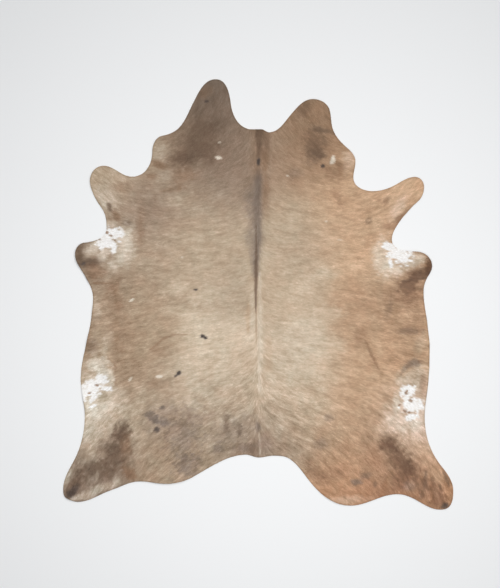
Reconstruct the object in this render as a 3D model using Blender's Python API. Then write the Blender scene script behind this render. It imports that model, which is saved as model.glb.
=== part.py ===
"""A cowhide rug: one whole hide with the hair on, trimmed round its edge and lying on a floor.

Metres. +Z is up and the hair side faces +Z. +Y runs along the spine towards the neck.
The origin is on the floor, under the middle of the hide's outline.
"""
import math
from collections import namedtuple

import bpy
from mathutils import Vector
from mathutils.geometry import delaunay_2d_cdt, interpolate_bezier

SKIN_THICKNESS = 0.0022
HAIR_DEPTH = 0.0018
THICKNESS = SKIN_THICKNESS + HAIR_DEPTH

# Spacing of the points round the trimmed edge, over the folds and over the flat back.
RIM_STEP = 0.016
FOLD_STEP = 0.022
FLAT_EVERY = 4
RIM_CLEARANCE = 0.011
SAMPLES_PER_ARC = 24

HAIR_COLOUR = (0.42, 0.31, 0.21, 1.0)
HAIR_ROUGHNESS = 0.55

# The trimmed edge of each side, from the nape to the tail. out is the distance from the spine
# and along the distance from the rump's lowest point. heading is the way the edge runs there:
# 0 away from the spine, 90 towards the head, 180 back to the spine and -90 towards the tail.
Landmark = namedtuple("Landmark", "name out along heading")
LEFT_EDGE = [
    Landmark("nape", 0.042, 1.897, 8),
    Landmark("neck, inner side", 0.138, 2.023, 83),
    Landmark("neck, tip", 0.213, 2.146, 0),
    Landmark("neck, outer side", 0.327, 2.026, -63),
    Landmark("neck, hollow", 0.386, 1.916, -52),
    Landmark("cheek, top", 0.478, 1.865, -10),
    Landmark("cheek", 0.529, 1.789, -88),
    Landmark("throat, neck side", 0.552, 1.704, -58),
    Landmark("throat", 0.631, 1.660, 0),
    Landmark("foreleg, top", 0.773, 1.715, 0),
    Landmark("foreleg, tip", 0.840, 1.639, -90),
    Landmark("foreleg, outer side", 0.823, 1.573, -113),
    Landmark("foreleg, underside", 0.794, 1.521, -125),
    Landmark("upper arm", 0.766, 1.472, -109),
    Landmark("armpit", 0.758, 1.405, -91),
    Landmark("elbow, top", 0.868, 1.331, -5),
    Landmark("elbow, tip", 0.913, 1.275, -90),
    Landmark("elbow, underside", 0.873, 1.179, -122),
    Landmark("flank", 0.825, 1.050, -89),
    Landmark("belly", 0.852, 0.858, -78),
    Landmark("stifle", 0.886, 0.651, -91),
    Landmark("shank, hollow", 0.866, 0.472, -90),
    Landmark("shank", 0.907, 0.272, -66),
    Landmark("hock, outer side", 0.974, 0.098, -92),
    Landmark("hock, corner", 0.958, 0.058, -150),
    Landmark("hock, underside", 0.900, 0.039, 180),
    Landmark("heel", 0.761, 0.087, 157),
    Landmark("thigh, leg side", 0.680, 0.119, 156),
    Landmark("thigh, hollow", 0.585, 0.141, 181),
    Landmark("thigh, lobe", 0.462, 0.129, 180),
    Landmark("thigh, rump side", 0.333, 0.160, 153),
    Landmark("rump", 0.272, 0.195, 150),
    Landmark("rump, beside the tail", 0.062, 0.274, 180),
]
RIGHT_EDGE = [
    Landmark("crest of the neck", 0.016, 1.897, -4),
    Landmark("nape", 0.052, 1.882, 0),
    Landmark("neck, inner side", 0.162, 1.971, 49),
    Landmark("neck, tip", 0.270, 2.047, 0),
    Landmark("neck, outer side", 0.356, 1.988, -78),
    Landmark("neck, base", 0.372, 1.894, -70),
    Landmark("shoulder", 0.442, 1.804, -42),
    Landmark("cheek", 0.483, 1.735, -90),
    Landmark("throat, neck side", 0.473, 1.654, -88),
    Landmark("throat", 0.571, 1.588, 0),
    Landmark("foreleg, upper side", 0.676, 1.616, 27),
    Landmark("foreleg, top", 0.780, 1.659, 0),
    Landmark("foreleg, tip", 0.825, 1.609, -90),
    Landmark("foreleg, outer side", 0.805, 1.548, -129),
    Landmark("foreleg, underside", 0.766, 1.510, -131),
    Landmark("upper arm", 0.702, 1.434, -123),
    Landmark("armpit", 0.665, 1.345, -88),
    Landmark("elbow, base", 0.711, 1.295, -14),
    Landmark("elbow, top", 0.783, 1.287, 0),
    Landmark("elbow, tip", 0.864, 1.215, -90),
    Landmark("elbow, crease", 0.840, 1.155, -118),
    Landmark("flank", 0.822, 1.090, -90),
    Landmark("belly", 0.834, 0.980, -82),
    Landmark("stifle", 0.853, 0.796, -90),
    Landmark("stifle, lower side", 0.848, 0.650, -94),
    Landmark("shank, hollow", 0.828, 0.477, -90),
    Landmark("shank", 0.842, 0.354, -75),
    Landmark("shank, outer side", 0.916, 0.212, -51),
    Landmark("hock, outer side", 0.971, 0.092, -91),
    Landmark("hock, corner", 0.951, 0.015, -132),
    Landmark("hock, underside", 0.906, 0.000, 180),
    Landmark("heel", 0.791, 0.045, 151),
    Landmark("thigh, hollow", 0.694, 0.077, 180),
    Landmark("thigh", 0.601, 0.058, 200),
    Landmark("thigh, lobe", 0.458, 0.020, 180),
    Landmark("rump", 0.252, 0.145, 128),
    Landmark("rump, top", 0.157, 0.252, 145),
    Landmark("rump, beside the tail", 0.072, 0.269, 180),
]
TAIL = Landmark("tail stub", 0.0, 0.260, 180)

# Where the hide stands off the floor. right is the crest's middle to the right of the spine,
# and along is measured as above. lie is the crest's direction, anticlockwise from +X.
Fold = namedtuple("Fold", "name right along lie half_length half_width rise")
FOLDS = [
    Fold("left neck", -0.225, 2.040, 78, 0.130, 0.070, 0.012),
    Fold("right neck", 0.290, 1.975, 110, 0.120, 0.070, 0.010),
    Fold("left cheek", -0.490, 1.780, 120, 0.100, 0.055, 0.008),
    Fold("right cheek", 0.450, 1.740, 62, 0.100, 0.055, 0.008),
    Fold("left foreleg", -0.775, 1.625, 150, 0.130, 0.070, 0.013),
    Fold("right foreleg", 0.745, 1.580, 36, 0.140, 0.060, 0.014),
    Fold("left elbow", -0.868, 1.268, 14, 0.110, 0.075, 0.021),
    Fold("below the left elbow", -0.815, 1.160, -38, 0.120, 0.052, 0.011),
    Fold("right elbow", 0.796, 1.228, -15, 0.120, 0.078, 0.023),
    Fold("below the right elbow", 0.768, 1.085, 8, 0.120, 0.055, 0.013),
    Fold("right brisket", 0.660, 1.015, 78, 0.130, 0.045, 0.008),
    Fold("right flank, first wave", 0.785, 0.950, -4, 0.110, 0.048, 0.010),
    Fold("right flank, second wave", 0.785, 0.820, 8, 0.120, 0.050, 0.013),
    Fold("right flank, third wave", 0.770, 0.672, 30, 0.130, 0.048, 0.015),
    Fold("right stifle", 0.826, 0.540, 90, 0.130, 0.050, 0.009),
    Fold("left flank, first wave", -0.826, 0.990, 4, 0.100, 0.052, 0.009),
    Fold("left flank, second wave", -0.848, 0.845, 12, 0.110, 0.048, 0.011),
    Fold("left belly", -0.746, 0.706, 104, 0.140, 0.042, 0.011),
    Fold("left stifle", -0.871, 0.560, 88, 0.130, 0.050, 0.009),
    Fold("left hock", -0.905, 0.130, 56, 0.150, 0.046, 0.012),
    Fold("right shank", 0.855, 0.120, 100, 0.120, 0.036, 0.010),
    Fold("right hock", 0.925, 0.115, 104, 0.110, 0.036, 0.011),
    Fold("left thigh", -0.465, 0.165, 0, 0.150, 0.055, 0.008),
    Fold("right thigh", 0.440, 0.085, 2, 0.150, 0.060, 0.010),
]


def clear_scene():
    """Removes every object, so that the hide is alone."""
    for obj in list(bpy.data.objects):
        bpy.data.objects.remove(obj)


def reach_of_handle(start_turn, end_turn):
    """Hobby's share of the chord for a Bezier handle, from the two angles off the chord."""
    sin_s, cos_s = math.sin(start_turn), math.cos(start_turn)
    sin_e, cos_e = math.sin(end_turn), math.cos(end_turn)
    bulge = math.sqrt(2) * (sin_s - sin_e / 16) * (sin_e - sin_s / 16) * (cos_s - cos_e)
    root = math.sqrt(5)
    return (2 + bulge) / (3 * (1 + (root - 1) / 2 * cos_s + (3 - root) / 2 * cos_e))


def arc(start, start_way, end, end_way):
    """Points of the smooth arc from start up to end, which leave and arrive on the two headings."""
    chord = end - start
    start_turn = chord.angle_signed(start_way)
    end_turn = end_way.angle_signed(chord)
    first = start + start_way * chord.length * reach_of_handle(start_turn, end_turn)
    second = end - end_way * chord.length * reach_of_handle(end_turn, start_turn)
    return interpolate_bezier(start, first, second, end, SAMPLES_PER_ARC)[:-1]


def side_of_edge(landmarks, side):
    """The arcs of one side from the nape to the tail stub. side is -1 for left and 1 for right."""
    stations = []
    for mark in [*landmarks, TAIL]:
        turn = math.radians(mark.heading)
        place = Vector((side * mark.out, mark.along))
        way = Vector((side * math.cos(turn), math.sin(turn)))
        stations.append((place, way))
    points = []
    for here, there in zip(stations, stations[1:]):
        points += arc(*here, *there)
    return points


def joined_edge():
    """The whole edge, anticlockwise seen from above: down the left side and up the right one."""
    left = side_of_edge(LEFT_EDGE, -1)
    right = side_of_edge(RIGHT_EDGE, 1)
    right.reverse()
    nape = arc(right[-1], Vector((-1, 0)), left[0], Vector((-1, 0)))
    return left + [Vector((0, TAIL.along))] + right + nape[1:]


def evenly_spaced(points, step):
    """The closed line through points, cut again into equal steps of about that length."""
    loop = [*points, points[0]]
    lengths = [(b - a).length for a, b in zip(loop, loop[1:])]
    count = round(sum(lengths) / step)
    even = sum(lengths) / count
    spaced = []
    walked = 0.0
    for start, end, length in zip(loop, loop[1:], lengths):
        while len(spaced) < count and len(spaced) * even < walked + length:
            share = (len(spaced) * even - walked) / length
            spaced.append(start.lerp(end, share))
        walked += length
    return spaced


def middle_of(points):
    """The middle of the box round the points."""
    xs = [p.x for p in points]
    ys = [p.y for p in points]
    return Vector(((min(xs) + max(xs)) / 2, (min(ys) + max(ys)) / 2))


def swell(share):
    """A smooth bump: 1 at the crest, 0 from its half width outwards."""
    if abs(share) >= 1:
        return 0.0
    return math.cos(share * math.pi / 2) ** 2


def lift(x, along):
    """How far the hide's underside stands off the floor at a place right of the spine."""
    height = 0.0
    for fold in FOLDS:
        turn = math.radians(fold.lie)
        right, ahead = x - fold.right, along - fold.along
        down_crest = right * math.cos(turn) + ahead * math.sin(turn)
        across = ahead * math.cos(turn) - right * math.sin(turn)
        height += fold.rise * swell(down_crest / fold.half_length) * swell(across / fold.half_width)
    return height


def inside(x, y, rim):
    """True if the place is inside the rim and clear of it by RIM_CLEARANCE."""
    within = False
    for a, b in zip(rim, rim[1:] + rim[:1]):
        if (a.y > y) != (b.y > y) and x < a.x + (y - a.y) / (b.y - a.y) * (b.x - a.x):
            within = not within
        if (a.x - x) ** 2 + (a.y - y) ** 2 < RIM_CLEARANCE**2:
            return False
    return within


def inner_points(rim):
    """A staggered lattice inside the rim, close over the folds and wide where the hide is flat."""
    row_step = FOLD_STEP * math.sqrt(3) / 2
    low_x = min(p.x for p in rim)
    low_y = min(p.y for p in rim)
    columns = int((max(p.x for p in rim) - low_x) / FOLD_STEP) + 1
    rows = int((max(p.y for p in rim) - low_y) / row_step) + 1
    found = []
    for row in range(rows):
        for column in range(columns):
            x = low_x + (column + row % 2 / 2) * FOLD_STEP
            y = low_y + row * row_step
            wide = row % FLAT_EVERY == 0 and column % FLAT_EVERY == 0
            if (wide or lift(x, y) > 0) and inside(x, y, rim):
                found.append(Vector((x, y)))
    return found


def sheet_mesh(name):
    """The hide as one closed sheet: its underside, its hair side and the cut edge between them."""
    rim = evenly_spaced(joined_edge(), RIM_STEP)
    edges = [(i, (i + 1) % len(rim)) for i in range(len(rim))]
    only_inside = 1
    flat = delaunay_2d_cdt(rim + inner_points(rim), edges, [], only_inside, 1e-6)
    places, triangles = flat[0], flat[2]
    middle = middle_of(rim)
    underside = []
    for place in places:
        height = lift(place.x, place.y)
        underside.append((place.x - middle.x, place.y - middle.y, height))
    hair_side = [(x, y, z + THICKNESS) for x, y, z in underside]
    count = len(places)
    faces = [tuple(reversed(t)) for t in triangles]
    faces += [tuple(v + count for v in t) for t in triangles]
    turns = [(t[i], t[(i + 1) % 3]) for t in triangles for i in range(3)]
    shared = set(turns)
    faces += [(a, b, b + count, a + count) for a, b in turns if (b, a) not in shared]
    mesh = bpy.data.meshes.new(name)
    mesh.from_pydata(underside + hair_side, [], faces)
    mesh.validate()
    return mesh


def hide_material():
    """Plain taupe hair: its markings are a matter of finish."""
    material = bpy.data.materials.new("hide_hair")
    material.use_nodes = True
    shader = material.node_tree.nodes["Principled BSDF"]
    shader.inputs["Base Color"].default_value = HAIR_COLOUR
    shader.inputs["Roughness"].default_value = HAIR_ROUGHNESS
    shader.inputs["Metallic"].default_value = 0.0
    return material


def build_hide():
    """The one solid of the hide, shaded smooth with its cut edge left sharp."""
    mesh = sheet_mesh("cowhide")
    mesh.materials.append(hide_material())
    mesh.shade_smooth()
    mesh.set_sharp_from_angle(angle=math.radians(50))
    hide = bpy.data.objects.new("cowhide", mesh)
    bpy.context.scene.collection.objects.link(hide)
    return hide


def main():
    clear_scene()
    build_hide()


main()
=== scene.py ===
"""The looks of a cowhide rug: its skin, its coat of short hair and its markings, on a pale floor.

Metres. The origin is on the floor, under the middle of the hide, and +Y runs towards the neck.
A place on the hide is given as right, the distance to the right of the spine, and along, the
distance from the rump's lowest point towards the head.
"""
import math
from collections import namedtuple

import bpy
import numpy as np
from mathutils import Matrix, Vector
from mathutils.bvhtree import BVHTree
from mathutils.geometry import delaunay_2d_cdt

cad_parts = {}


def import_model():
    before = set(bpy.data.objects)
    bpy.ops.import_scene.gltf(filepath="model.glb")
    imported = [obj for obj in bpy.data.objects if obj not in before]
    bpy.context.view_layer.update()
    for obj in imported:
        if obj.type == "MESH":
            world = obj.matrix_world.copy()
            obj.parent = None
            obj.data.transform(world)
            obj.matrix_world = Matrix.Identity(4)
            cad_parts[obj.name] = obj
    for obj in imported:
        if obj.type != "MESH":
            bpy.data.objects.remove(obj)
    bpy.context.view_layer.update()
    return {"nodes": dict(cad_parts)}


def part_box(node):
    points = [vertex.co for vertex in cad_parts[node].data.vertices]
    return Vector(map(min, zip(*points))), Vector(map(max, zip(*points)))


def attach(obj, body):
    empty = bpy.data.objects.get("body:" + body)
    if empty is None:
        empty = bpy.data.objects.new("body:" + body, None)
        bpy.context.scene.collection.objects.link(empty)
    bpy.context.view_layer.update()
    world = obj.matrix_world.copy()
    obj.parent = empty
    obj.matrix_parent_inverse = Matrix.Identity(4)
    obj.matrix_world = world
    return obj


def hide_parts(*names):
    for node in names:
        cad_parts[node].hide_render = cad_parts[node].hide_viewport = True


# The sheet of skin, and how far the spine lies from the frame's middle.
SOLID_THICKNESS = 0.004
SKIN_THICKNESS = 0.0024
SPINE = 0.0015

# Spacing of the skin's points, and of the maps that its heights and colours are drawn on.
RIM_PARTS = 3
TOP_STEP = 0.0072
UNDER_STEP = 0.026
HEIGHT_CELL = 0.006
HEIGHT_BLUR = 0.009
COAT_CELL = 0.0025
MAP_MARGIN = 0.045
EDGE_REACH = 0.030
SHARP_ANGLE = 50

# The locks of hair. They grow on a staggered lattice that is shared out over the layers.
LAYERS = 4
LOCK_STEP = 0.00412
LOCK_WIDTH = 0.0019
LOCK_BELLY = 0.38
LOCK_RANGE = (0.75, 1.25)
LOCK_SCATTER = 0.42
LOCK_TURN = 9
LOCK_RISE = (0.0008, 0.0016)
TIP_RISE = (0.0004, 0.0015)
ROOT_SINK = 0.0002
ROOT_CLEARANCE = 0.0008
OVERHANG = 0.0025

# How much lighter and darker the hair is from lock to lock and along each lock.
LOCK_SPREAD = 0.080
# The undercoat and the locks' roots are made darker: painted shade under the locks.
UNDERCOAT_PAINTED_SHADE = 0.86
ROOT_PAINTED_SHADE = 0.86
TIP_SHADE = 1.05

# The coat's unevenness: fine and broad streaks along the hair, clouds, and warmer or cooler places.
# Lighter hair is also paler, so what lightens it works less on its red and more on its blue.
FINE_GRAIN = 0.130
BROAD_GRAIN = 0.110
CLOUD_GRAIN = 0.052
PALING = (0.85, 1.0, 1.25)
WARM_GRAIN = 0.030
WARM_SHIFT = (0.35, -0.22, -0.40)
# A band along the rim is darkened: painted shade along the hide's edge.
RIM_PAINTED_SHADE = 0.13
RIM_WIDTH = 0.009
TORN = 0.90

# Colours of the hair in 0 to 255, as they look by daylight.
OAT = (213, 195, 171)
BEIGE = (189, 167, 141)
TAUPE = (174, 151, 126)
DUN = (172, 146, 118)
SMOKE = (144, 121, 101)
TAN = (193, 159, 127)
FAWN = (182, 147, 114)
RUST = (188, 142, 106)
CHESTNUT = (140, 100, 72)
BARK = (131, 97, 69)
UMBER = (98, 74, 54)
COCOA = (94, 62, 39)
SLATE = (103, 88, 78)
SOOT = (52, 41, 37)
OLIVE = (150, 134, 108)
MAUVE = (164, 138, 124)
PALE = (208, 193, 174)
BLUSH = (220, 196, 176)
CREAM = (228, 218, 202)
WHITE = (243, 241, 239)
SUEDE_LIGHT = (214, 197, 172)
SUEDE_DARK = (190, 171, 145)
CUT_LIGHT = (202, 177, 145)
CUT_DARK = (172, 146, 114)

# The coat's ground colour at places on the body. shade lightens or darkens the pigment there.
TONE_REACH = 0.115
Tone = namedtuple("Tone", "name right along pigment shade")
TONES = [
    Tone("left neck, lobe", -0.23, 2.00, SMOKE, 0.78),
    Tone("left neck, base", -0.18, 1.87, SMOKE, 0.92),
    Tone("left neck, side", -0.34, 1.82, UMBER, 1.08),
    Tone("left nape", -0.06, 1.80, SMOKE, 1.05),
    Tone("right nape", 0.07, 1.80, SMOKE, 1.09),
    Tone("right neck, lobe", 0.27, 1.97, FAWN, 0.85),
    Tone("right neck, side", 0.28, 1.82, BARK, 0.95),
    Tone("right neck, base", 0.17, 1.77, FAWN, 0.98),
    Tone("left cheek", -0.48, 1.77, BEIGE, 1.02),
    Tone("right cheek", 0.44, 1.72, TAN, 1.08),
    Tone("left foreleg", -0.75, 1.64, BEIGE, 0.99),
    Tone("right foreleg", 0.75, 1.61, TAN, 1.08),
    Tone("left shoulder", -0.22, 1.67, SMOKE, 0.99),
    Tone("left shoulder, outer side", -0.54, 1.52, SMOKE, 1.02),
    Tone("right shoulder", 0.41, 1.52, FAWN, 1.04),
    Tone("right shoulder, outer side", 0.54, 1.52, TAN, 1.01),
    Tone("left upper back", -0.29, 1.47, BEIGE, 0.98),
    Tone("right upper back", 0.21, 1.47, BEIGE, 1.00),
    Tone("left ribs", -0.29, 1.25, BEIGE, 1.00),
    Tone("right ribs", 0.21, 1.25, BEIGE, 0.97),
    Tone("left back", -0.14, 1.10, BEIGE, 0.94),
    Tone("right back", 0.13, 1.10, BEIGE, 1.04),
    Tone("left upper flank", -0.54, 1.25, TAUPE, 1.01),
    Tone("right upper flank", 0.51, 1.25, TAN, 1.07),
    Tone("left belly", -0.64, 0.95, DUN, 0.98),
    Tone("left belly, edge", -0.77, 0.95, TAUPE, 1.00),
    Tone("right belly", 0.56, 0.95, FAWN, 0.95),
    Tone("right belly, edge", 0.75, 0.97, FAWN, 0.97),
    Tone("left elbow", -0.87, 1.27, SMOKE, 0.91),
    Tone("left elbow, inner side", -0.79, 1.24, DUN, 0.96),
    Tone("right elbow", 0.83, 1.23, BARK, 1.12),
    Tone("right elbow, inner side", 0.72, 1.16, TAN, 0.96),
    Tone("left loin", -0.19, 0.80, OAT, 1.00),
    Tone("right loin", 0.18, 0.80, OAT, 0.955),
    Tone("left lower flank", -0.54, 0.57, TAUPE, 1.00),
    Tone("right lower flank", 0.46, 0.65, TAN, 1.03),
    Tone("left hip", -0.29, 0.55, OAT, 0.98),
    Tone("right hip", 0.26, 0.55, BEIGE, 1.03),
    Tone("left rump", -0.22, 0.35, TAUPE, 0.98),
    Tone("right rump", 0.16, 0.37, TAUPE, 1.02),
    Tone("left thigh", -0.44, 0.25, TAUPE, 1.01),
    Tone("left thigh, lower edge", -0.49, 0.17, DUN, 0.95),
    Tone("right thigh", 0.43, 0.30, FAWN, 0.97),
    Tone("right thigh, lower edge", 0.43, 0.12, RUST, 1.02),
    Tone("left shank", -0.82, 0.37, OAT, 0.97),
    Tone("right shank", 0.77, 0.40, BLUSH, 0.98),
    Tone("left leg", -0.76, 0.20, SMOKE, 0.90),
    Tone("left hock", -0.91, 0.12, SMOKE, 0.95),
    Tone("right leg, lower part", 0.62, 0.14, CHESTNUT, 1.12),
    Tone("right leg", 0.66, 0.30, FAWN, 0.92),
    Tone("right hock", 0.91, 0.15, RUST, 0.98),
    Tone("tail", 0.00, 0.31, SMOKE, 0.93),
    Tone("right flank", 0.63, 0.80, FAWN, 1.02),
    Tone("left flank", -0.64, 0.80, DUN, 1.01),
    Tone("left loin, lower part", -0.12, 0.66, BEIGE, 0.98),
    Tone("left croup", -0.22, 0.47, TAUPE, 0.90),
    Tone("middle of the croup", 0.00, 0.49, BEIGE, 1.00),
    Tone("right loin, lower part", 0.24, 0.68, OAT, 0.97),
    Tone("right croup", 0.49, 0.53, FAWN, 0.98),
]
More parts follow.
